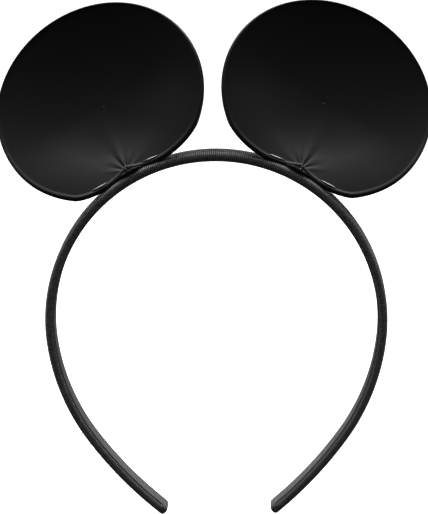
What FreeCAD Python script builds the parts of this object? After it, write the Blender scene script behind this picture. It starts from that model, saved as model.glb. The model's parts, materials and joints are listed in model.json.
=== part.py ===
"""Animal ears headband: a ribbon-wrapped plastic hoop with two round, dished fabric ears.

Frame, in millimetres: +Z up, +Y from front to back, +X to the right as seen from the front.
Left and right in the names are as seen from the front too.
The origin is the middle of the face that rests on top of the head.
"""
import FreeCAD, Part
import math
import os

from FreeCAD import Vector

# Hoop. The face on the head is a chain of tangent arcs, the same on both sides of the middle.
INNER_RADII = (59.25, 76.25, 144.25)
ARC_TURNS = (97.5, 28.5, 15.2)            # degrees turned by each arc, from the top down
BAND_WIDTH = 11.6                         # front to back, ribbon included
RIBBON_T = 0.4                            # grosgrain, also the lining's thickness
CORE_T = 2.3                              # moulded plastic core
CORE_ROUND = 0.9                          # radius of the core's long edges
RIBBON_ROUND = 1.25                       # radius of the wrapped ribbon's long edges
FOLD_WIDTH = 2.3                          # how far the ribbon is folded in under each edge
LINING_WIDTH = 10.2
TIP_FOLD_T = 0.5                          # ribbon folded over the end of the core
TIP_TONGUE = 9.0                          # its length along the inner face

# Flexing of the hoop: each leg springs outwards about a line just past the ear's base.
FLEX_ANGLE = 50.0                         # degrees from the top
FLEX_GAP = 0.6                            # degrees of free space between crown and leg

# Ears, in a frame on the hinge line: a along the hoop towards its tip, b up the ear, c to the front.
EAR_ANGLE = 31.2                          # degrees from the top to the ear's base
HINGE_HEIGHT = 2.6                        # hinge line above the ribbon
HINGE_Y = -1.5
EAR_LEAN = 22.0                           # degrees back from upright
EAR_HALF_WIDTH = 40.0
EAR_HALF_HEIGHT = 36.0
EAR_CENTRE_A = -6.2
EAR_CENTRE_B = 25.7
RIM_C = 3.6                               # front rim's height over the hinge line
NOTCH_DEPTH = 10.8                        # pinch at the base, where the ear is gathered
NOTCH_ANGLE = 8.6                         # degrees off the ear's downward axis
NOTCH_SPREAD_OUTER = 38.0                 # degrees over which the pinch fades out
NOTCH_SPREAD_INNER = 58.0
NOTCH_SHARPNESS = 1.2
LOBE_BULGE = 0.4                          # fuller lobe beside the pinch
DISH_RADIUS = 110.0                       # the face is part of this sphere, hollow to the front
RIM_RADIUS = 38.0                         # distance from the dish's axis at which the rim is at RIM_C
FACE_T = 0.4                              # satin face cloth, turned over the rim
FOAM_T = 1.4
STIFFENER_T = 0.4
BACK_T = 0.4
WALL_T = 0.5                              # cloth thickness at the rim
BACK_TAPER = 0.98                         # the back is a little smaller than the front

# Base of each ear: gathered cloth tail on the hinge line, thread, foot patch and glue.
TAIL_RADIUS = 1.15
TAIL_LENGTH = 9.0
NECK_RADIUS = 1.0
THREAD_T = 0.25
THREAD_WIDTH = 0.4
THREAD_TURNS = 3
THREAD_PITCH = 0.6
THREAD_START = 2.0                        # from the hinge line's middle towards the tip
PATCH_T = 0.25
PATCH_SPAN = 6.0                          # along the hoop
PATCH_WIDTH = 4.4
GLUE_T = 0.15
GLUE_SPAN = 5.0
GLUE_WIDTH = 3.6

BAND_T = CORE_T + 3 * RIBBON_T            # lining, folded edge, core, ribbon
TOTAL_TURN = sum(ARC_TURNS)
OUTER_RADIUS = INNER_RADII[0] + BAND_T    # of the crown
EAR_T = FACE_T + FOAM_T + STIFFENER_T + BACK_T
Y_AXIS = Vector(0, 1, 0)
X_AXIS = Vector(1, 0, 0)


def ray(angle):
    """Unit vector in the hoop's plane, at that many degrees from straight up."""
    turn = math.radians(angle)
    return Vector(math.sin(turn), 0, math.cos(turn))


def arc_chain():
    """Centre, inner radius, first and last angle of each arc of the right-hand half."""
    arcs = []
    centre = Vector(0, 0, -INNER_RADII[0])
    start = 0.0
    for number, (radius, turn) in enumerate(zip(INNER_RADII, ARC_TURNS)):
        if number:
            centre = centre + ray(start) * (INNER_RADII[number - 1] - radius)
        arcs.append((centre, radius, start, start + turn))
        start += turn
    return arcs


ARCS = arc_chain()


def rounded_section(centre, radius, angle, low, high, half_width, corner):
    """Face across the hoop at one angle, from height low to high over the inner face."""
    outward = ray(angle)

    def at(height, across):
        return centre + outward * (radius + height) + Y_AXIS * across

    def outline(corners):
        edges = []
        for number, point in enumerate(corners):
            edges.append(Part.LineSegment(point, corners[(number + 1) % len(corners)]).toShape())
        return edges

    if not corner:
        square = [at(low, -half_width), at(high, -half_width), at(high, half_width), at(low, half_width)]
        return Part.Face(Part.Wire(outline(square)))

    diagonal = corner * (1 - math.sqrt(0.5))
    edges = []
    previous = None
    quarters = [(low, -half_width, 1, 1), (high, -half_width, -1, 1),
                (high, half_width, -1, -1), (low, half_width, 1, -1)]
    for number, (height, across, up, side) in enumerate(quarters):
        along_height = at(height + up * corner, across)
        along_width = at(height, across + side * corner)
        middle = at(height + up * diagonal, across + side * diagonal)
        first, last = (along_width, along_height) if number % 2 == 0 else (along_height, along_width)
        if previous is not None:
            edges.append(Part.LineSegment(previous, first).toShape())
        edges.append(Part.Arc(first, middle, last).toShape())
        previous = last
    edges.append(Part.LineSegment(previous, at(low, -half_width + corner)).toShape())
    return Part.Face(Part.Wire(edges))


def hoop_piece(start, end, low, high, half_width, corner=0.0):
    """Solid that follows the right-hand half of the hoop between two angles."""
    piece = None
    for centre, radius, first, last in ARCS:
        begin = max(start, first) if first > 0 else start
        finish = min(end, last)
        if finish - begin < 1e-6:
            continue
        face = rounded_section(centre, radius, begin, low, high, half_width, corner)
        sector = face.revolve(centre, Y_AXIS, finish - begin)
        piece = sector if piece is None else piece.fuse(sector)
    return piece.removeSplitter()


def mirrored(shape):
    """The same piece on the other side of the hoop."""
    return shape.mirror(Vector(0, 0, 0), X_AXIS)


# ---------------------------------------------------------------- hoop

LINING_TOP = RIBBON_T
FOLD_TOP = 2 * RIBBON_T
CORE_TOP = FOLD_TOP + CORE_T
CORE_HALF = BAND_WIDTH / 2 - RIBBON_T
FOLD_GAP_HALF = CORE_HALF - FOLD_WIDTH
TIP_RADIUS = INNER_RADII[2]
CORE_END = TOTAL_TURN - math.degrees(TIP_FOLD_T / TIP_RADIUS)
LINING_END = CORE_END - math.degrees(TIP_TONGUE / TIP_RADIUS)


def core(start, end):
    return hoop_piece(start, end, FOLD_TOP, CORE_TOP, CORE_HALF, CORE_ROUND)


def ribbon(start, end):
    """Grosgrain round the core: over the outer face and both edges, folded in underneath."""
    around = hoop_piece(start, end, LINING_TOP, BAND_T, BAND_WIDTH / 2, RIBBON_ROUND)
    inside = hoop_piece(start, end, FOLD_TOP, CORE_TOP, CORE_HALF, CORE_ROUND)
    between_folds = hoop_piece(start, end, LINING_TOP, FOLD_TOP, FOLD_GAP_HALF)
    return around.cut(inside).cut(between_folds)


def inner_strip(start, end):
    """Strip on the inner face that dips between the ribbon's two folded edges."""
    strip = hoop_piece(start, end, 0, LINING_TOP, LINING_WIDTH / 2)
    dip = hoop_piece(start, end, LINING_TOP, FOLD_TOP, FOLD_GAP_HALF)
    return strip.fuse(dip).removeSplitter()


def tip_fold():
    """Ribbon folded over the core's end, with a tongue up the inner face."""
    end_plate = hoop_piece(CORE_END, TOTAL_TURN, 0, BAND_T, BAND_WIDTH / 2, RIBBON_ROUND)
    tongue = inner_strip(LINING_END, CORE_END)
    return end_plate.fuse(tongue).removeSplitter()


def hoop_nodes():
    crown_end = FLEX_ANGLE - FLEX_GAP / 2
    leg_start = FLEX_ANGLE + FLEX_GAP / 2
    makers = {"band_core": core, "ribbon": ribbon, "lining": inner_strip}
    nodes = {}
    for name, make in makers.items():
        leg = make(leg_start, LINING_END if name == "lining" else CORE_END)
        nodes[name + "_crown"] = make(-crown_end, crown_end)
        nodes[name + "_right"] = leg
        nodes[name + "_left"] = mirrored(leg)
    nodes["tip_fold_right"] = tip_fold()
    nodes["tip_fold_left"] = mirrored(nodes["tip_fold_right"])
    return nodes


# ---------------------------------------------------------------- ears

OUTWARD = ray(EAR_ANGLE)
ALONG = ray(EAR_ANGLE + 90)
LEAN = math.radians(EAR_LEAN)
UP = OUTWARD * math.cos(LEAN) + Y_AXIS * math.sin(LEAN)
FRONT = OUTWARD * math.sin(LEAN) - Y_AXIS * math.cos(LEAN)
HINGE = ARCS[0][0] + OUTWARD * (OUTER_RADIUS + HINGE_HEIGHT) + Y_AXIS * HINGE_Y
DISH_HEIGHT = math.sqrt(DISH_RADIUS ** 2 - RIM_RADIUS ** 2)   # from the rim plane to the sphere's centre
CUT_MARGIN = 6.0                                              # the outline's prism runs past both faces
OUTLINE_ARCS = 12                                             # arcs in the ear's outline


def in_ear(a, b, c):
    """Point given in the ear's frame."""
    return HINGE + ALONG * a + UP * b + FRONT * c


def outline_radius(angle, inset):
    """Distance from the ear's centre to its rim, angle in degrees from straight down, outer side positive."""
    turn = math.radians(angle)
    ellipse = EAR_HALF_WIDTH * EAR_HALF_HEIGHT / math.hypot(
        EAR_HALF_HEIGHT * math.sin(turn), EAR_HALF_WIDTH * math.cos(turn))
    off_notch = angle - NOTCH_ANGLE
    spread = NOTCH_SPREAD_OUTER if off_notch > 0 else NOTCH_SPREAD_INNER
    pinch = max(0.0, 1 - abs(off_notch) / spread) ** NOTCH_SHARPNESS
    lobe = math.exp(-((off_notch - 60) / 22) ** 2)
    return ellipse - NOTCH_DEPTH * pinch + LOBE_BULGE * lobe - inset


def outline_wire(inset, scale, c):
    """Closed outline at height c: a chain of arcs that starts and ends at the notch."""
    points = []
    for step in range(2 * OUTLINE_ARCS):
        angle = NOTCH_ANGLE + 180 * step / OUTLINE_ARCS
        angle = angle - 360 if angle > 180 else angle
        radius = outline_radius(angle, inset) * scale
        turn = math.radians(angle)
        points.append(in_ear(EAR_CENTRE_A + radius * math.sin(turn), EAR_CENTRE_B - radius * math.cos(turn), c))
    points.append(points[0])
    arcs = []
    for start in range(0, 2 * OUTLINE_ARCS, 2):
        arcs.append(Part.Arc(*points[start:start + 3]).toShape())
    return Part.Wire(arcs)


def outline_solid(inset):
    """Tapered prism inside the ear's outline, from in front of the rim to behind the back."""
    shrink = (1 - BACK_TAPER) / EAR_T
    behind = EAR_T + CUT_MARGIN
    front_wire = outline_wire(inset, 1 + shrink * CUT_MARGIN, RIM_C + CUT_MARGIN)
    back_wire = outline_wire(inset, 1 - shrink * behind, RIM_C - behind)
    return Part.makeLoft([front_wire, back_wire], True, True)


def dish_ball(depth):
    """Ball whose surface is the ear's dish at that depth behind the face, its seam turned away in front."""
    middle = in_ear(EAR_CENTRE_A, EAR_CENTRE_B, RIM_C + DISH_HEIGHT)
    radius = DISH_RADIUS + depth
    tip, tail_end = middle + ALONG * radius, middle - ALONG * radius
    half_circle = Part.Arc(tip, middle + FRONT * radius, tail_end).toShape()
    diameter = Part.LineSegment(tail_end, tip).toShape()
    return Part.Face(Part.Wire([half_circle, diameter])).revolve(middle, ALONG, 360)


def dish_layer(prism, near, far):
    """Part of the prism between two depths behind the face."""
    return prism.common(dish_ball(far)).cut(dish_ball(near))


def tail():
    """Gathered cloth at the ear's base: a roll on the hinge line, let into the notch."""
    start = HINGE - ALONG * (TAIL_LENGTH / 2)
    roll = Part.makeCylinder(TAIL_RADIUS, TAIL_LENGTH, start, ALONG)
    notch_radius = outline_radius(NOTCH_ANGLE, 0)
    turn = math.radians(NOTCH_ANGLE)
    foot = HINGE + ALONG * (EAR_CENTRE_A + notch_radius * math.sin(turn))
    neck = Part.makeCylinder(NECK_RADIUS, EAR_CENTRE_B - notch_radius * math.cos(turn) + NECK_RADIUS, foot, UP)
    return roll.fuse(neck).removeSplitter()


def stitches():
    """Turns of thread round the gathered roll, side by side."""
    turns = []
    for number in range(THREAD_TURNS):
        start = HINGE + ALONG * (THREAD_START + number * THREAD_PITCH)
        outer = Part.makeCylinder(TAIL_RADIUS + THREAD_T, THREAD_WIDTH, start, ALONG)
        inner = Part.makeCylinder(TAIL_RADIUS, THREAD_WIDTH, start, ALONG)
        turns.append(outer.cut(inner))
    return Part.Compound(turns)


def ear_nodes():
    """The right-hand ear's pieces, front to back, and its base."""
    whole = outline_solid(0)
    inside = outline_solid(WALL_T)
    foam_front = FACE_T
    foam_back = foam_front + FOAM_T
    stiffener_back = foam_back + STIFFENER_T
    envelope = dish_layer(whole, 0, EAR_T)
    face = envelope.cut(dish_layer(inside, foam_front, EAR_T + CUT_MARGIN))
    return {
        "ear_face": face,
        "ear_foam": dish_layer(inside, foam_front, foam_back),
        "ear_stiffener": dish_layer(inside, foam_back, stiffener_back),
        "ear_back": dish_layer(inside, stiffener_back, EAR_T),
        "ear_tail": tail().cut(envelope),
        "ear_stitch": stitches().cut(envelope),
    }


def base_nodes():
    """Foot patch and glue under the right-hand ear, curved with the hoop."""
    degrees_per_mm = math.degrees(1 / OUTER_RADIUS)

    def pad(low, high, span, width):
        half = span * degrees_per_mm / 2
        return hoop_piece(EAR_ANGLE - half, EAR_ANGLE + half, low, high, width / 2)

    glue_top = BAND_T + GLUE_T
    return {
        "glue_film": pad(BAND_T, glue_top, GLUE_SPAN, GLUE_WIDTH),
        "foot_patch": pad(glue_top, glue_top + PATCH_T, PATCH_SPAN, PATCH_WIDTH),
    }


def main():
    nodes = hoop_nodes()
    for name, shape in {**ear_nodes(), **base_nodes()}.items():
        nodes[name + "_right"] = shape
        nodes[name + "_left"] = mirrored(shape)
    os.makedirs("parts", exist_ok=True)
    for name, shape in nodes.items():
        shape.exportStep(f"parts/{name}.step")


main()
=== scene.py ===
"""Looks of the animal ears headband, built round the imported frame.

Shapes are worked out in millimetres for the right-hand half, mirrored for the left, and turned into metres
when a mesh is made. Left and right are as seen from the front.
"""

import json
import math

import bpy
import numpy as np
from mathutils import Matrix, Vector


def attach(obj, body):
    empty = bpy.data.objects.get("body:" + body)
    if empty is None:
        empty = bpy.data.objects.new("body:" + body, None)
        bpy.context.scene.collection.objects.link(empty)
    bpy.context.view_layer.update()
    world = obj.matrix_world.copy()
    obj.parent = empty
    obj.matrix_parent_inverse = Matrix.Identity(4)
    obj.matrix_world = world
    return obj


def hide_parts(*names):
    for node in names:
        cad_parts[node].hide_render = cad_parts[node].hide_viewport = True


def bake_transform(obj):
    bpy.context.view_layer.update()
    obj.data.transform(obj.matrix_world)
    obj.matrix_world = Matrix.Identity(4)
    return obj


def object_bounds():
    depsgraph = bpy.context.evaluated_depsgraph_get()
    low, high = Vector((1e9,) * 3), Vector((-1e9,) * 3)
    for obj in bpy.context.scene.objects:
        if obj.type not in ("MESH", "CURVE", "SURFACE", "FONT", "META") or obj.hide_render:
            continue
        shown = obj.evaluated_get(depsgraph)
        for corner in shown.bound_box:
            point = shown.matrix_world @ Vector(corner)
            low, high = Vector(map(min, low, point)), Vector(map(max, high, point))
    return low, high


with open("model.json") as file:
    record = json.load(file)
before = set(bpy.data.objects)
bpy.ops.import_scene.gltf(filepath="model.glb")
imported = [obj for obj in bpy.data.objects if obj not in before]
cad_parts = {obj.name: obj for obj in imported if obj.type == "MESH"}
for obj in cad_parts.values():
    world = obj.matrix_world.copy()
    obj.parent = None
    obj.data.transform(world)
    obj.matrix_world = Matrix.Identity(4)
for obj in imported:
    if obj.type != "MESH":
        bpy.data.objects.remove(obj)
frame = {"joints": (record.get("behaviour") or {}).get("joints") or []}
CAD_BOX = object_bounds()
MM = 0.001
SIDES = {"left": -1, "right": 1}
JOINTS = {joint["name"]: joint for joint in frame["joints"]}

# Hoop
INNER_RADII = (59.25, 76.25, 144.25)
ARC_TURNS = (97.5, 28.5, 15.2)
BAND_WIDTH = 11.6
BAND_T = 3.5
RIBBON_T = 0.4
RIBBON_ROUND = 1.25
CORE_ROUND = 0.9
CORE_GAP = 0.02                           # between the core and the ribbon round it
FOLD_WIDTH = 2.3
LINING_WIDTH = 10.2
RIB_PITCH = 0.72
RIB_HEIGHT = 0.20
STEPS_PER_RIB = 6
SPLIT_ANGLE = 31.2                        # crown and legs meet under the ears
TIP_ROUND = 1.5
TIP_TONGUE = 9.0

# Ears, in the frame of the hinge line: a along the hoop towards its tip, b up the ear, c to the front
EAR_LEAN = math.radians(22.0)
EAR_HALF_WIDTH = 40.0
EAR_HALF_HEIGHT = 36.0
EAR_CENTRE_A = -6.2
EAR_CENTRE_B = 25.7
RIM_C = 3.6
NOTCH_DEPTH = 8.4
NOTCH_ANGLE = 8.6
NOTCH_SPREAD_OUTER = 35.0
NOTCH_SPREAD_INNER = 54.0
NOTCH_SHARPNESS = 1.2
DISH_RADIUS = 110.0
RIM_RADIUS = 38.0
EAR_T = 2.6
CLOTH_T = 0.25


def ray(angle):
    """Unit vector in the hoop's plane, at that many degrees from straight up."""
    turn = math.radians(angle)
    return np.array([math.sin(turn), 0.0, math.cos(turn)])


def smooth_step(value, start, end):
    share = np.clip((value - start) / (end - start), 0, 1)
    return share * share * (3 - 2 * share)


# ---------------------------------------------------------------- meshes

def make_mesh(name, points, faces, material, side=1, sharp=None, shades=None):
    """Piece from points in millimetres, mirrored for the left-hand side; one painted rib shade value for each
    point.
    """
    points = np.asarray(points, float) * (MM * side, MM, MM)
    if side < 0:
        faces = [face[::-1] for face in faces]
    mesh = bpy.data.meshes.new(name)
    mesh.from_pydata(points.tolist(), [], faces)
    if shades is not None:
        # painted rib shade: darker in the rib grooves, lighter on the crests, read by the grosgrain material
        mesh.attributes.new("painted_rib_shade", "FLOAT", "POINT").data.foreach_set("value", np.asarray(shades, float))
    mesh.validate()
    mesh.polygons.foreach_set("use_smooth", [True] * len(mesh.polygons))
    if sharp:
        mesh.set_sharp_from_angle(angle=math.radians(sharp))
    mesh.materials.append(material)
    piece = bpy.data.objects.new(name, mesh)
    bpy.context.scene.collection.objects.link(piece)
    return piece


def grid_faces(rows, columns, wrap_columns=False, offset=0, flip=False):
    """Quads of a grid of points stored row by row."""
    faces = []
    last = columns if wrap_columns else columns - 1
    for row in range(rows - 1):
        for column in range(last):
            right = (column + 1) % columns
            quad = [row * columns + column, row * columns + right,
                    (row + 1) * columns + right, (row + 1) * columns + column]
            quad = [offset + index for index in quad]
            faces.append(quad[::-1] if flip else quad)
    return faces


def tube_mesh(name, rings, material, side=1, sharp=None, shades=None):
    """Closed piece from a list of equal rings of points, with a flat face at each end."""
    rings = np.asarray(rings, float)
    count, size = rings.shape[:2]
    faces = grid_faces(count, size, wrap_columns=True)
    faces.append(list(range(size))[::-1])
    faces.append([(count - 1) * size + index for index in range(size)])
    return make_mesh(name, rings.reshape(-1, 3), faces, material, side, sharp, shades)


# ---------------------------------------------------------------- materials

def new_material(name, colour, roughness, specular=0.5, sheen=0.0, sheen_roughness=0.4):
    material = bpy.data.materials.new(name)
    material.use_nodes = True
    nodes = material.node_tree.nodes
    shader = nodes["Principled BSDF"]
    shader.inputs["Base Color"].default_value = (*colour, 1)
    shader.inputs["Roughness"].default_value = roughness
    shader.inputs["Specular IOR Level"].default_value = specular
    shader.inputs["Sheen Weight"].default_value = sheen
    shader.inputs["Sheen Roughness"].default_value = sheen_roughness
    return material, nodes, material.node_tree.links, shader


def scaled_coordinates(nodes, links, scale):
    """Object coordinates stretched by a scale for each axis."""
    source = nodes.new("ShaderNodeTexCoord")
    mapping = nodes.new("ShaderNodeMapping")
    mapping.inputs["Scale"].default_value = scale
    links.new(source.outputs["Object"], mapping.inputs["Vector"])
    return mapping.outputs["Vector"]


def noise(nodes, links, scale, detail=3.0, stretch=(1, 1, 1)):
    texture = nodes.new("ShaderNodeTexNoise")
    texture.inputs["Scale"].default_value = scale
    texture.inputs["Detail"].default_value = detail
    links.new(scaled_coordinates(nodes, links, stretch), texture.inputs["Vector"])
    return texture.outputs["Fac"]


def ramp(nodes, links, source, low, high, start=0.3, end=0.7):
    """Colour that goes from low to high as the source goes from start to end."""
    blend = nodes.new("ShaderNodeValToRGB")
    blend.color_ramp.elements[0].position = start
    blend.color_ramp.elements[0].color = (*low, 1)
    blend.color_ramp.elements[1].position = end
    blend.color_ramp.elements[1].color = (*high, 1)
    links.new(source, blend.inputs["Fac"])
    return blend.outputs["Color"]


def bump(nodes, links, shader, source, distance, strength=0.5):
    node = nodes.new("ShaderNodeBump")
    node.inputs["Distance"].default_value = distance
    node.inputs["Strength"].default_value = strength
    links.new(source, node.inputs["Height"])
    links.new(node.outputs["Normal"], shader.inputs["Normal"])


def grey(value, warmth=0.0):
    return (value * (1 + warmth), value, value * (1 - warmth))


def satin_material(name, level, roughness, sheen, specular=0.28):
    """Black satin: even, soft, with a fine grain."""
    material, nodes, links, shader = new_material(name, grey(level), roughness, specular, sheen, 0.35)
    grain = noise(nodes, links, 2600, 2.0)
    colour = ramp(nodes, links, grain, grey(level * 0.8), grey(level * 1.25))
    links.new(colour, shader.inputs["Base Color"])
    bump(nodes, links, shader, grain, 0.00004, 0.35)
    return material


def grosgrain_material(name, level, sheen):
    """Ribbed ribbon with fine yarns; painted shade darkens the rib grooves and painted light brightens the rib
    crests in the base colour.
    """
    material, nodes, links, shader = new_material(name, grey(level), 0.6, 0.3, sheen, 0.3)
    yarn = noise(nodes, links, 1400, 3.0, (1, 3.5, 1))
    # reads the painted rib shade values stored on the mesh
    crest = nodes.new("ShaderNodeAttribute")
    crest.attribute_name = "painted_rib_shade"
    mix = nodes.new("ShaderNodeMix")
    mix.data_type = "RGBA"
    mix.blend_type = "MULTIPLY"
    mix.inputs["Factor"].default_value = 1.0
    links.new(ramp(nodes, links, yarn, grey(level * 0.6, 0.02), grey(level * 1.5, 0.02)), mix.inputs[6])
    # painted shade in the rib grooves and painted light on the rib crests, multiplied into the base colour
    links.new(ramp(nodes, links, crest.outputs["Fac"], grey(0.04), grey(1.5), 0.15, 0.85), mix.inputs[7])
    links.new(mix.outputs[2], shader.inputs["Base Color"])
    fuzz = ramp(nodes, links, crest.outputs["Fac"], grey(0.15 * sheen), grey(sheen), 0.15, 0.85)
    links.new(fuzz, shader.inputs["Sheen Weight"])
    bump(nodes, links, shader, yarn, 0.00008, 0.6)
    return material


def plain_material(name, low, high, roughness, scale, depth):
    """Plastic, foam, thread or glue with a little colour variation and a fine surface."""
    material, nodes, links, shader = new_material(name, low, roughness)
    cloud = noise(nodes, links, scale)
    links.new(ramp(nodes, links, cloud, low, high), shader.inputs["Base Color"])
    bump(nodes, links, shader, cloud, depth)
    return material


SATIN = satin_material("satin_black", 0.005, 0.45, 0.005)
# lighter copy of the black satin: painted sheen on the cloth turned over the rim and on the gathered tail
SATIN_PAINTED_SHEEN = satin_material("satin_painted_sheen", 0.012, 0.40, 0.03)
# glossy tight satin with a base colour far lighter than the black satin: real highlights from the lamps plus
# painted glint
SATIN_PAINTED_GLINT = satin_material("satin_tight_painted_glint", 0.06, 0.14, 0.0, 1.0)
GROSGRAIN = grosgrain_material("grosgrain_black", 0.16, 1.0)
LINING = grosgrain_material("lining_black", 0.17, 1.0)
PATCH = grosgrain_material("patch_cloth", 0.03, 0.1)
CORE = plain_material("core_plastic", grey(0.02), grey(0.03), 0.5, 300, 0.00005)
FOAM = plain_material("ear_foam", grey(0.04), grey(0.07), 0.9, 900, 0.0003)
STIFFENER = plain_material("stiffener_plastic", grey(0.035), grey(0.045), 0.45, 200, 0.00003)
THREAD = plain_material("thread_black", grey(0.012), grey(0.03), 0.5, 3000, 0.00008)
GLUE = plain_material("glue_cloudy", (0.05, 0.048, 0.042), (0.08, 0.076, 0.066), 0.3, 500, 0.0001)


# ---------------------------------------------------------------- hoop

def arc_chain():
    """Centre, inner radius, first and last angle of the right-hand half's arcs, and the length before each."""
    arcs = []
    centre = np.array([0.0, 0.0, -INNER_RADII[0]])
    start, length = 0.0, 0.0
    for number, (radius, turn) in enumerate(zip(INNER_RADII, ARC_TURNS)):
        if number:
            centre = centre + ray(start) * (INNER_RADII[number - 1] - radius)
        arcs.append((centre, radius, start, start + turn, length))
        length += math.radians(turn) * (radius + BAND_T)
        start += turn
    return arcs


ARCS = arc_chain()
TOTAL_TURN = sum(ARC_TURNS)


def hoop_station(length):
    """Point on the inner face and outward direction, at a length along the outer face from the top."""
    for centre, radius, start, end, before in reversed(ARCS):
        if length >= before or start == 0:
            angle = start + math.degrees((length - before) / (radius + BAND_T))
            return centre + ray(angle) * radius, ray(angle)


def length_at(angle):
    """Length along the outer face at which the hoop has turned by that angle."""
    for centre, radius, start, end, before in reversed(ARCS):
        if angle >= start or start == 0:
            return before + math.radians(angle - start) * (radius + BAND_T)


HOOP_LENGTH = length_at(TOTAL_TURN)


def rib(length):
    """Height of the ribbon's ribs at a length along the hoop, 0 in the groove and 1 on the crest."""
    return 0.5 - 0.5 * math.cos(2 * math.pi * length / RIB_PITCH)


def rounded_profile(low, high, half, corner, steps=5):
    """Points across a strip and round its edges: (height, across, out in height, out across)."""
    profile = []
    corners = [(high - corner, -half + corner, 90), (high - corner, half - corner, 0),
               (low + corner, half - corner, -90), (low + corner, -half + corner, -180)]
    for height, across, first in corners:
        for step in range(steps + 1):
            turn = math.radians(first + 90 - 90 * step / steps)
            out_height, out_across = math.sin(turn), math.cos(turn)
            profile.append((height + corner * out_height, across + corner * out_across,
                            out_height, out_across))
    return profile


def along_hoop(start, end):
    """Lengths from start to end, a fixed number to each rib."""
    count = max(2, round((end - start) / RIB_PITCH * STEPS_PER_RIB))
    return [start + (end - start) * step / count for step in range(count + 1)]


def place(length, height, across):
    point, outward = hoop_station(length)
    return point + outward * height + np.array([0.0, across, 0.0])


def wrap_profile():
    """Ribbon round the core: its outside from one folded edge to the other, then its inside back again."""
    outside = rounded_profile(RIBBON_T, BAND_T, BAND_WIDTH / 2, RIBBON_ROUND)
    inside = rounded_profile(2 * RIBBON_T, BAND_T - RIBBON_T, BAND_WIDTH / 2 - RIBBON_T, RIBBON_ROUND - 0.35)
    fold = BAND_WIDTH / 2 - RIBBON_T - FOLD_WIDTH
    top = [(BAND_T, across, 1.0, 0.0) for across in np.linspace(-4.2, 4.2, 11)]
    inner_top = [(BAND_T - RIBBON_T, 0.0, 0.0, 0.0)]
    quarter = len(outside) // 4
    outer = ([(RIBBON_T, -fold, -1.0, 0.0)] + outside[3 * quarter:] + outside[:quarter] + top
             + outside[quarter:3 * quarter] + [(RIBBON_T, fold, -1.0, 0.0)])
    inner = ([(2 * RIBBON_T, fold, 0.0, 0.0)] + inside[quarter:3 * quarter][::-1] + inner_top
             + inside[:quarter][::-1] + inside[3 * quarter:][::-1] + [(2 * RIBBON_T, -fold, 0.0, 0.0)])
    return outer + [(height, across, 0.0, 0.0) for height, across, _, _ in inner]


def strip_profile():
    """Lining: a flat strip whose inner face is ribbed."""
    half = LINING_WIDTH / 2
    face = [(0.0, across, -1.0, 0.0) for across in np.linspace(half - 0.15, -half + 0.15, 9)]
    corners = ((0.1, -half), (RIBBON_T, -half), (RIBBON_T, half), (0.1, half))
    edge = [(height, across, 0.0, 0.0) for height, across in corners]
    return face + edge


def ribbed(up):
    """Share of a rib's height that shows where the ribbon faces that much out of or into the hoop."""
    return float(smooth_step(abs(up), 0.02, 0.3))


def painted_rib_shade(length, up):
    """Painted rib shade: 1, painted light, on a rib's crest, 0, painted shade, in a groove, and even along the
    smooth edges.
    """
    return 0.5 + (rib(length) - 0.5) * ribbed(up)


def hoop_piece(name, profile, start, end, material, side=1, rib_height=RIB_HEIGHT):
    rings, shades = [], []
    for length in along_hoop(start, end):
        lift = rib_height * (rib(length) - 0.5)
        rings.append([place(length, height + lift * ribbed(up) * up, across + lift * ribbed(up) * out)
                      for height, across, up, out in profile])
        # painted rib shade for each point
        shades += [painted_rib_shade(length, up) for _, _, up, _ in profile]
    return tube_mesh(name, rings, material, side, sharp=50, shades=shades)


def tip_piece(name, side):
    """End of the hoop: ribbon folded over the end of the core, rounded; the tongue up the inner face is made
    in hoop_pieces.
    """
    profile = rounded_profile(0.0, BAND_T, BAND_WIDTH / 2, RIBBON_ROUND)
    start = HOOP_LENGTH - 2 * TIP_ROUND
    middle = BAND_T / 2
    rings, shades = [], []
    for length in along_hoop(start, HOOP_LENGTH - 0.02):
        past = max(0.0, (length - (HOOP_LENGTH - TIP_ROUND)) / TIP_ROUND)
        shrink = TIP_ROUND * (1 - math.sqrt(1 - past * past))
        lift = RIB_HEIGHT * (rib(length) - 0.5) * (1 - past)
        height_scale = (middle - 0.75 * shrink) / middle
        width_scale = (BAND_WIDTH / 2 - 0.8 * shrink) / (BAND_WIDTH / 2)
        rings.append([place(length, middle + (height - middle) * height_scale + lift * ribbed(up) * up,
                            across * width_scale + lift * ribbed(up) * out)
                      for height, across, up, out in profile])
        # painted rib shade for each point
        shades += [painted_rib_shade(length, up) for _, _, up, _ in profile]
    return tube_mesh(name, rings, GROSGRAIN, side, sharp=60, shades=shades)


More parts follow.
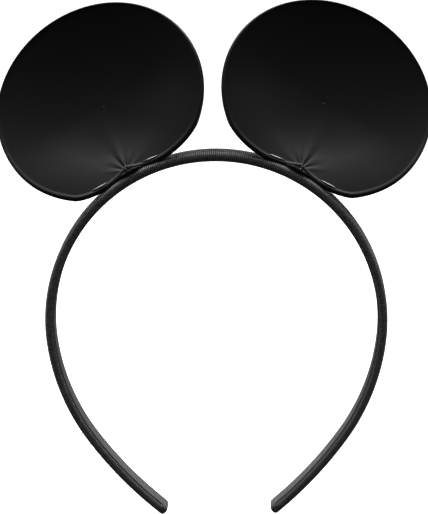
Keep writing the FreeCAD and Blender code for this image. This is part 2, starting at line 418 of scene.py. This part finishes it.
def hoop_pieces():
    split = length_at(SPLIT_ANGLE)
    split = round(split / RIB_PITCH) * RIB_PITCH
    end = HOOP_LENGTH - 2 * TIP_ROUND + 0.3
    core_low = 2 * RIBBON_T + CORE_GAP
    core_high = BAND_T - RIBBON_T - CORE_GAP
    core_half = BAND_WIDTH / 2 - RIBBON_T - CORE_GAP
    core = [(height, across, 0.0, 0.0)
            for height, across, _, _ in rounded_profile(core_low, core_high, core_half, CORE_ROUND)]
    kinds = {
        "band_core": (core, CORE, "core_plastic", 0.0, end),
        "ribbon": (wrap_profile(), GROSGRAIN, "grosgrain", RIB_HEIGHT, end),
        "lining": (strip_profile(), LINING, "lining", 0.7 * RIB_HEIGHT, end - TIP_TONGUE + TIP_ROUND),
    }
    for kind, (profile, material, slot, rib_height, leg_end) in kinds.items():
        crown = hoop_piece(kind + "_over_crown", profile, -split, split, material, 1, rib_height)
        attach(crown, "crown")
        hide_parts(kind + "_crown")
        for word, side in SIDES.items():
            leg = hoop_piece(f"{kind}_down_{word}", profile, split, leg_end, material, side, rib_height)
            bend_along_leg(leg)
            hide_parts(f"{kind}_{word}")
    for word, side in SIDES.items():
        tip = tip_piece("tip_end_" + word, side)
        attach(tip, word + "_leg")
        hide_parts("tip_fold_" + word)
        tongue = hoop_piece("tip_tongue_" + word, strip_profile(), end - TIP_TONGUE + TIP_ROUND, end,
                            GROSGRAIN, side, 0.9 * RIB_HEIGHT)
        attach(tongue, word + "_leg")


def bend_along_leg(piece):
    """Bakes a leg piece's placement into its mesh; the leg does not bend out of the crown."""
    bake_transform(piece)


# ---------------------------------------------------------------- ears

HINGE = np.array(JOINTS["right_ear_tilt"]["pos_m"]) / MM
ALONG = np.array(JOINTS["right_ear_tilt"]["axis"])
OUTWARD = np.array([-ALONG[2], 0.0, ALONG[0]])
BACKWARD = np.array([0.0, 1.0, 0.0])
UP = OUTWARD * math.cos(EAR_LEAN) + BACKWARD * math.sin(EAR_LEAN)
FRONT = OUTWARD * math.sin(EAR_LEAN) - BACKWARD * math.cos(EAR_LEAN)
SPOKES = 420
RINGS = 84
SPOKE_BUNCHING = 0.6                      # spokes are closer together near the notch
CREST_INSET = 1.5                         # rim roll's width below, from its crest to the outline
CREST_INSET_TOP = 0.5
CREST_HEIGHT = 0.28
EAR_BEND = (-2.0, 7.0)                    # heights over the hinge line; nothing bends the ear


def in_ear(a, b, c):
    """Points given in the ear's frame."""
    a, b, c = (np.asarray(value, float)[..., None] for value in (a, b, c))
    return HINGE + a * ALONG + b * UP + c * FRONT


def outline_radius(angle):
    """Distance from the ear's centre to its outline, degrees from straight down, outer side positive."""
    turn = np.radians(angle)
    ellipse = EAR_HALF_WIDTH * EAR_HALF_HEIGHT / np.hypot(
        EAR_HALF_HEIGHT * np.sin(turn), EAR_HALF_WIDTH * np.cos(turn))
    off_notch = angle - NOTCH_ANGLE
    spread = np.where(off_notch > 0, NOTCH_SPREAD_OUTER, NOTCH_SPREAD_INNER)
    pinch = np.clip(1 - abs(off_notch) / spread, 0, 1) ** NOTCH_SHARPNESS
    lobe = np.exp(-((off_notch - 60) / 22) ** 2)
    return ellipse - NOTCH_DEPTH * pinch + 0.4 * lobe


def spoke_angles():
    """Angles of the spokes in degrees, wrapped to within half a turn of straight down."""
    share = np.arange(SPOKES) / SPOKES * 2 - 1
    off = 180 * (share - SPOKE_BUNCHING * np.sin(np.pi * share) / np.pi)
    angle = off + NOTCH_ANGLE
    return np.where(angle > 180, angle - 360, angle)


def spoke_points(angles, inset, share=1.0):
    """Points a, b on the spokes: that far inside the outline, then that share of the way out."""
    turn = np.radians(angles)
    radius = (outline_radius(angles) - inset) * share
    return EAR_CENTRE_A + radius * np.sin(turn), EAR_CENTRE_B - radius * np.cos(turn)


ANGLES = spoke_angles()
NOTCH_POINT = spoke_points(NOTCH_ANGLE, 0.0)
# Gathers that fan out from the notch: degrees from up the ear, height, half-width in degrees, length
GATHERS = ((-72, 0.10, 7, 8), (-50, -0.14, 6, 6), (-34, 0.08, 7, 6), (-18, -0.16, 6, 6), (-2, 0.20, 10, 22),
           (14, -0.16, 6, 7), (30, 0.08, 7, 6), (46, -0.14, 6, 6), (62, 0.10, 7, 8))
DISH_DEPTH = 6.78
DISH_BEND = 22.0                          # below the middle the dish is steepest here


def face_height(a, b):
    """Height of the face cloth over the hinge line."""
    reach = np.hypot(a - EAR_CENTRE_A, b - EAR_CENTRE_B)
    round_dish = math.sqrt(DISH_RADIUS ** 2 - RIM_RADIUS ** 2) - np.sqrt(DISH_RADIUS ** 2 - reach ** 2)
    past = np.clip(reach - DISH_BEND, 0, None)
    flat_dish = np.minimum(reach, DISH_BEND) ** 2 / 146 - DISH_DEPTH + 0.301 * past - 0.00534 * past ** 2
    low = smooth_step((EAR_CENTRE_B - b) / np.maximum(reach, 1.0), -0.1, 0.8)
    dish = RIM_C + round_dish + (flat_dish - round_dish) * low
    away_a, away_b = a - NOTCH_POINT[0], b - NOTCH_POINT[1]
    distance = np.hypot(away_a, away_b)
    direction = np.degrees(np.arctan2(away_a, away_b))
    folds = np.zeros_like(dish)
    for towards, height, half_width, length in GATHERS:
        across = (direction - towards) / half_width
        fade = np.exp(-(distance / length) ** 2) * smooth_step(distance, 0.2, 3.0)
        folds += height * np.exp(-across ** 2) * fade
    return dish + folds


def thickness_share(a, b):
    """The ear thins out where it is gathered into the notch."""
    return 0.4 + 0.6 * smooth_step(np.hypot(a - NOTCH_POINT[0], b - NOTCH_POINT[1]), 1.0, 12.0)


def rim_ring(inset, depth):
    """Ring of points that far inside the outline and that far behind the face at the rim."""
    a, b = spoke_points(ANGLES, inset)
    return a, b, face_height(a, b) - depth * thickness_share(a, b)


def crest_inset():
    """The rim's roll is broad below and narrow at the top."""
    low = smooth_step(-np.cos(np.radians(ANGLES)), -0.9, 0.8)
    return CREST_INSET + (CREST_INSET_TOP - CREST_INSET) * low


def face_rings():
    """Front of the face cloth from the rim's crest to the middle, as rings of a, b, c."""
    inset = crest_inset()
    rings = []
    for step in range(RINGS):
        share = 1 - step / RINGS
        a, b = spoke_points(ANGLES, inset, share)
        inwards = (outline_radius(ANGLES) - inset) * (1 - share)
        crest = CREST_HEIGHT * np.exp(-(inwards / 0.35) ** 2)
        rings.append((a, b, face_height(a, b) + crest))
    return rings


def roll_rings(count=10):
    """Cloth turned over the rim, from its crest round to the back."""
    inset = crest_inset()
    rings = []
    for step in range(1, count + 1):
        turn = math.pi * step / count
        across = inset * (1 - math.sin(turn))
        depth = EAR_T / 2 * (1 - math.cos(turn)) - CREST_HEIGHT * (1 + math.cos(turn)) / 2
        rings.append(rim_ring(across, depth))
    return rings


def face_cloth(name, side):
    """Face cloth, turned over the rim, with its thickness behind; the turned part has a lighter satin copy,
    painted sheen.
    """
    turned = roll_rings()
    rings = [in_ear(*ring) for ring in face_rings()[::-1] + turned]
    centre = in_ear(EAR_CENTRE_A, EAR_CENTRE_B, face_height(np.array(EAR_CENTRE_A), np.array(EAR_CENTRE_B)))
    points = np.concatenate([centre.reshape(1, 3)] + rings)
    faces = [[0, 1 + (spoke + 1) % SPOKES, 1 + spoke] for spoke in range(SPOKES)]
    faces += grid_faces(len(rings), SPOKES, wrap_columns=True, offset=1, flip=True)
    piece = make_mesh(name, points, faces, SATIN, side)
    # the cloth turned over the rim gets the lighter satin: painted sheen
    piece.data.materials.append(SATIN_PAINTED_SHEEN)
    for face in piece.data.polygons[-len(turned) * SPOKES:]:
        face.material_index = 1
    solid = piece.modifiers.new("thickness", "SOLIDIFY")
    solid.thickness = CLOTH_T * MM
    solid.offset = -1
    thick = piece.evaluated_get(bpy.context.evaluated_depsgraph_get())
    piece.data = bpy.data.meshes.new_from_object(thick)
    piece.modifiers.clear()
    return piece


def layer_solid(name, near, far, inset, material, side):
    """Closed layer of the ear between two depths behind the face."""
    shares = np.linspace(0.0, 1.0, 41)[1:]
    fronts, backs = [], []
    for share in shares:
        a, b = spoke_points(ANGLES, inset, share)
        height = face_height(a, b)
        fronts.append(in_ear(a, b, height - near * thickness_share(a, b)))
        backs.append(in_ear(a, b, height - far * thickness_share(a, b)))
    height = float(face_height(np.array(EAR_CENTRE_A), np.array(EAR_CENTRE_B)))
    front_middle = in_ear(EAR_CENTRE_A, EAR_CENTRE_B, height - near).reshape(1, 3)
    back_middle = in_ear(EAR_CENTRE_A, EAR_CENTRE_B, height - far).reshape(1, 3)
    points = np.concatenate([front_middle] + fronts + backs[::-1] + [back_middle])
    rows = 2 * len(shares)
    faces = [[0, 1 + (spoke + 1) % SPOKES, 1 + spoke] for spoke in range(SPOKES)]
    faces += grid_faces(rows, SPOKES, wrap_columns=True, offset=1, flip=True)
    last, first = 1 + rows * SPOKES, 1 + (rows - 1) * SPOKES
    faces += [[last, first + spoke, first + (spoke + 1) % SPOKES] for spoke in range(SPOKES)]
    return make_mesh(name, points, faces, material, side, sharp=50)


def bend_at_base(piece, word, side, low, high):
    """Bakes the piece's placement into its mesh; it neither keeps the foot on the hoop nor makes the piece
    follow the ear. Low and high, heights from the hinge line, are not used.
    """
    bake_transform(piece)


def ear_pieces(word, side):
    face = face_cloth("ear_face_cloth_" + word, side)
    foam = layer_solid("ear_padding_" + word, 0.35, 1.75, 1.5, FOAM, side)
    stiffener = layer_solid("ear_sheet_" + word, 1.8, 2.15, 1.5, STIFFENER, side)
    back = layer_solid("ear_back_cloth_" + word, 2.2, 2.75, 0.9, SATIN, side)
    layers = ((face, "ear_face_", "satin"), (foam, "ear_foam_", "foam"),
              (stiffener, "ear_stiffener_", "stiffener_plastic"), (back, "ear_back_", "satin"))
    for piece, node, slot in layers:
        bend_at_base(piece, word, side, *EAR_BEND)
        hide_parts(node + word)


# ---------------------------------------------------------------- ear bases

TAIL_START = -7.5                         # along the hinge line, from its middle towards the hoop's end
TAIL_END = 2.8
TAIL_B = -2.75                            # below the hinge line
TAIL_C = 2.0
THREAD_AT = -0.6
THREAD_RADIUS = 0.13
PATCH_SPAN = 6.0
PATCH_WIDTH = 4.4
PATCH_Y = -1.5
GLUE_T = 0.15
PATCH_T = 0.25


def round_tube(name, path, radius, material, side, around=10):
    """Round bar that follows a path; the radius may differ along it."""
    path = np.asarray(path, float)
    radii = np.broadcast_to(radius, len(path))
    along = np.gradient(path, axis=0)
    along /= np.linalg.norm(along, axis=1)[:, None]
    across = np.cross(along, (0.3, 0.9, 0.2))
    across /= np.linalg.norm(across, axis=1)[:, None]
    up = np.cross(across, along)
    turns = np.linspace(0, 2 * math.pi, around, endpoint=False)
    rings = [[point + size * (math.cos(turn) * right + math.sin(turn) * top) for turn in turns]
             for point, size, right, top in zip(path, radii, across, up)]
    return tube_mesh(name, rings, material, side)


def tail_size(a):
    """Half the tail's height and half its depth at one place along it."""
    full = smooth_step(a, TAIL_START - 0.4, -4.8) * (1 - 0.8 * smooth_step(a, -2.0, TAIL_END))
    waist = 1 - 0.2 * math.exp(-((a - THREAD_AT) / 0.7) ** 2)
    return 0.14 + 0.48 * full * waist, 0.3 + 1.2 * full * waist


def tail_b(a):
    """Middle of the tail below the hinge line; it follows the hoop's curve."""
    return TAIL_B - a * a / 130


def tail_piece(word, side):
    """Gathered cloth under the notch, fluted along its length, in the lighter satin with painted sheen."""
    rings = []
    turns = np.linspace(0, 2 * math.pi, 96, endpoint=False)
    for a in np.linspace(TAIL_START, TAIL_END, 90):
        tall, deep = tail_size(a)
        flutes = 1 + 0.07 * np.sin(9 * turns + 0.5 * a) + 0.04 * np.sin(17 * turns - 0.8 * a)
        rings.append(in_ear(np.full_like(turns, a), tail_b(a) + tall * flutes * np.sin(turns),
                            TAIL_C + deep * flutes * np.cos(turns)))
    return tube_mesh("ear_gathers_" + word, rings, SATIN_PAINTED_SHEEN, side)


def thread_pieces(word, side):
    """Thread wound round the tail, and a loop that crosses the rim at the notch."""
    turns = np.linspace(0, 2 * math.pi * 4, 160)
    a = THREAD_AT - 0.56 + 0.28 * turns / (2 * math.pi)
    sizes = np.array([tail_size(place_a) for place_a in a]) * 1.04 + THREAD_RADIUS * 0.7
    wound = in_ear(a, tail_b(a) + sizes[:, 0] * np.sin(turns), TAIL_C + sizes[:, 1] * np.cos(turns))
    share = np.linspace(0, 1, 40)
    lean = NOTCH_POINT[0] + 0.2 - 0.7 * share
    up = NOTCH_POINT[1] + 1.4 - 2.6 * share
    front = float(face_height(*map(np.array, NOTCH_POINT))) + 0.35 + 0.75 * np.sin(math.pi * share)
    loop = in_ear(lean, up, front)
    return [round_tube("ear_thread_" + word, wound, THREAD_RADIUS, THREAD, side),
            round_tube("ear_thread_loop_" + word, loop, THREAD_RADIUS * 1.3, THREAD, side)]


def shine_pieces(word, side):
    """Tight folds that catch the light on the rim, one each side of the notch; their lighter satin adds
    painted glint to the real highlight.
    """
    facing = np.array([0.12, -0.62, 0.78])
    facing /= np.linalg.norm(facing)
    pieces = []
    for label, first, last in (("outer", 16.0, 26.0), ("inner", -25.0, -13.0)):
        shares = np.linspace(0, 1, 40)
        a, b = spoke_points(NOTCH_ANGLE + first + (last - first) * shares, 2.3)
        path = in_ear(a, b, face_height(a, b) + 0.2)
        along = np.gradient(path, axis=0)
        along /= np.linalg.norm(along, axis=1)[:, None]
        rings = []
        for point, way, share in zip(path, along, shares):
            across = np.cross(facing, way)
            across /= np.linalg.norm(across)
            out = np.cross(way, across)
            half = 0.05 + 0.45 * math.sin(math.pi * share) ** 0.8
            ring = [point + across * half * math.cos(step) + out * 0.6 * half * math.sin(step)
                    for step in np.linspace(0, 2 * math.pi, 20, endpoint=False)]
            rings.append(ring)
        pieces.append(tube_mesh(f"ear_fold_{label}_{word}", rings, SATIN_PAINTED_GLINT, side))
    return pieces


def slab_piece(name, low, high, span, width, material, side, wobble):
    """Thin pad on the ribbon under the ear, with an uneven outline."""
    middle = length_at(SPLIT_ANGLE)
    turns = np.linspace(0, 2 * math.pi, 96, endpoint=False)
    ragged = 1 + wobble * np.sin(7 * turns + 1) + 0.6 * wobble * np.sin(17 * turns)
    square = (abs(np.cos(turns)) ** 5 + abs(np.sin(turns)) ** 5) ** -0.2
    rings = []
    outline = ((0.03, low), (0.96, low), (1.0, (low + high) / 2), (0.95, high), (0.5, high), (0.03, high))
    for share, height in outline:
        along = middle + span / 2 * share * square * ragged * np.cos(turns)
        across = PATCH_Y + width / 2 * share * square * ragged * np.sin(turns)
        rings.append([place(length, BAND_T + height, y) for length, y in zip(along, across)])
    # even painted rib shade value, so the patch gets no painted groove shade
    return tube_mesh(name, rings, material, side, shades=[0.7] * len(rings) * len(turns))


def base_pieces(word, side):
    tail = tail_piece(word, side)
    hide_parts("ear_tail_" + word)
    bend_at_base(tail, word, side, *EAR_BEND)
    for piece in thread_pieces(word, side):
        bend_at_base(piece, word, side, *EAR_BEND)
        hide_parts("ear_stitch_" + word)
    for piece in shine_pieces(word, side):
        bend_at_base(piece, word, side, *EAR_BEND)
    crest = RIB_HEIGHT / 2
    patch = slab_piece("ear_patch_" + word, crest + GLUE_T, crest + GLUE_T + PATCH_T,
                       PATCH_SPAN, PATCH_WIDTH, PATCH, side, 0.012)
    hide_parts("foot_patch_" + word)
    glue = slab_piece("ear_glue_" + word, -crest, crest + GLUE_T,
                      PATCH_SPAN - 0.6, PATCH_WIDTH - 0.3, GLUE, side, 0.03)
    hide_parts("glue_film_" + word)
    for piece in (patch, glue):
        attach(piece, "crown")


# ---------------------------------------------------------------- studio

VIEW_ELEVATION = 11.0                     # degrees above level
VIEW_DISTANCE = 1200.0
VIEW_AZIMUTH = 1.5                        # degrees to the right of straight ahead
VIEW_ROLL = 0.9
VIEW_HEIGHT = 188.95                      # height of the picture at the object
PIVOT = np.array([0.0, 0.0, -58.25])
AIM_RIGHT = -0.85                         # the picture's middle from the pivot, to the right and up
AIM_UP = 21.85


def camera():
    turned, tilt, roll = (math.radians(angle) for angle in (VIEW_AZIMUTH, VIEW_ELEVATION, VIEW_ROLL))
    ahead = np.array([math.sin(turned), -math.cos(turned), 0.0])
    back = ahead * math.cos(tilt) + np.array([0.0, 0.0, math.sin(tilt)])
    level_right = np.array([math.cos(turned), math.sin(turned), 0.0])
    level_up = np.cross(back, level_right)
    right = level_right * math.cos(roll) - level_up * math.sin(roll)
    up = level_right * math.sin(roll) + level_up * math.cos(roll)
    eye = PIVOT + back * VIEW_DISTANCE
    away = eye - (PIVOT + right * AIM_RIGHT + up * AIM_UP)
    away /= np.linalg.norm(away)
    right = np.cross(up, away)
    right /= np.linalg.norm(right)
    up = np.cross(away, right)
    data = bpy.data.cameras.new("camera")
    data.sensor_width = 36
    data.lens = data.sensor_width * VIEW_DISTANCE / VIEW_HEIGHT
    data.clip_start = 0.05
    data.clip_end = 50
    made = bpy.data.objects.new("camera", data)
    bpy.context.scene.collection.objects.link(made)
    turn = Matrix((right, up, away)).transposed()
    made.matrix_world = Matrix.Translation(Vector(eye * MM)) @ turn.to_4x4()
    bpy.context.scene.camera = made


def area_light(name, place, aim, size, power):
    data = bpy.data.lights.new(name, "AREA")
    data.shape = "RECTANGLE"
    data.size, data.size_y = size
    data.energy = power
    light = bpy.data.objects.new(name, data)
    light.location = place
    light.rotation_euler = (Vector(place) - Vector(aim)).to_track_quat("Z", "Y").to_euler()
    bpy.context.scene.collection.objects.link(light)


def studio():
    area_light("top_left", (-0.45, 0.1, 1.1), (0, 0, -0.02), (0.7, 0.7), 14)
    area_light("top_right", (0.45, 0.1, 1.1), (0, 0, -0.02), (0.7, 0.7), 14)
    area_light("low_left", (-1.0, 0.25, -0.3), (0, 0, -0.06), (0.5, 0.5), 6)
    area_light("low_right", (1.0, 0.25, -0.3), (0, 0, -0.06), (0.5, 0.5), 4)
    world = bpy.data.worlds.new("studio")
    bpy.context.scene.world = world
    world.use_nodes = True
    nodes, links = world.node_tree.nodes, world.node_tree.links
    backdrop = nodes["Background"]
    backdrop.inputs["Color"].default_value = (1, 1, 1, 1)
    fill = nodes.new("ShaderNodeBackground")
    fill.inputs["Color"].default_value = (1, 1, 1, 1)
    fill.inputs["Strength"].default_value = 0.06
    seen = nodes.new("ShaderNodeLightPath")
    mix = nodes.new("ShaderNodeMixShader")
    links.new(seen.outputs["Is Camera Ray"], mix.inputs["Fac"])
    links.new(fill.outputs["Background"], mix.inputs[1])
    links.new(backdrop.outputs["Background"], mix.inputs[2])
    links.new(mix.outputs["Shader"], nodes["World Output"].inputs["Surface"])


def floor():
    """Pale floor that stays out of the object's own light."""
    low = CAD_BOX[0].z - 0.015                # clear of the legs when they swing out
    bpy.ops.mesh.primitive_plane_add(size=8, location=(0, 0, low))
    made = bpy.context.object
    made.name = "floor"
    material, nodes, links, shader = new_material("floor_white", grey(0.85), 0.9)
    shader.inputs["Emission Color"].default_value = (1, 1, 1, 1)
    shader.inputs["Emission Strength"].default_value = 1.05
    made.data.materials.append(material)
    made.visible_diffuse = False
    made.visible_glossy = False


def main():
    bpy.context.scene.view_settings.view_transform = "Standard"
    hoop_pieces()
    for word, side in SIDES.items():
        ear_pieces(word, side)
        base_pieces(word, side)
    camera()
    studio()
    floor()


main()
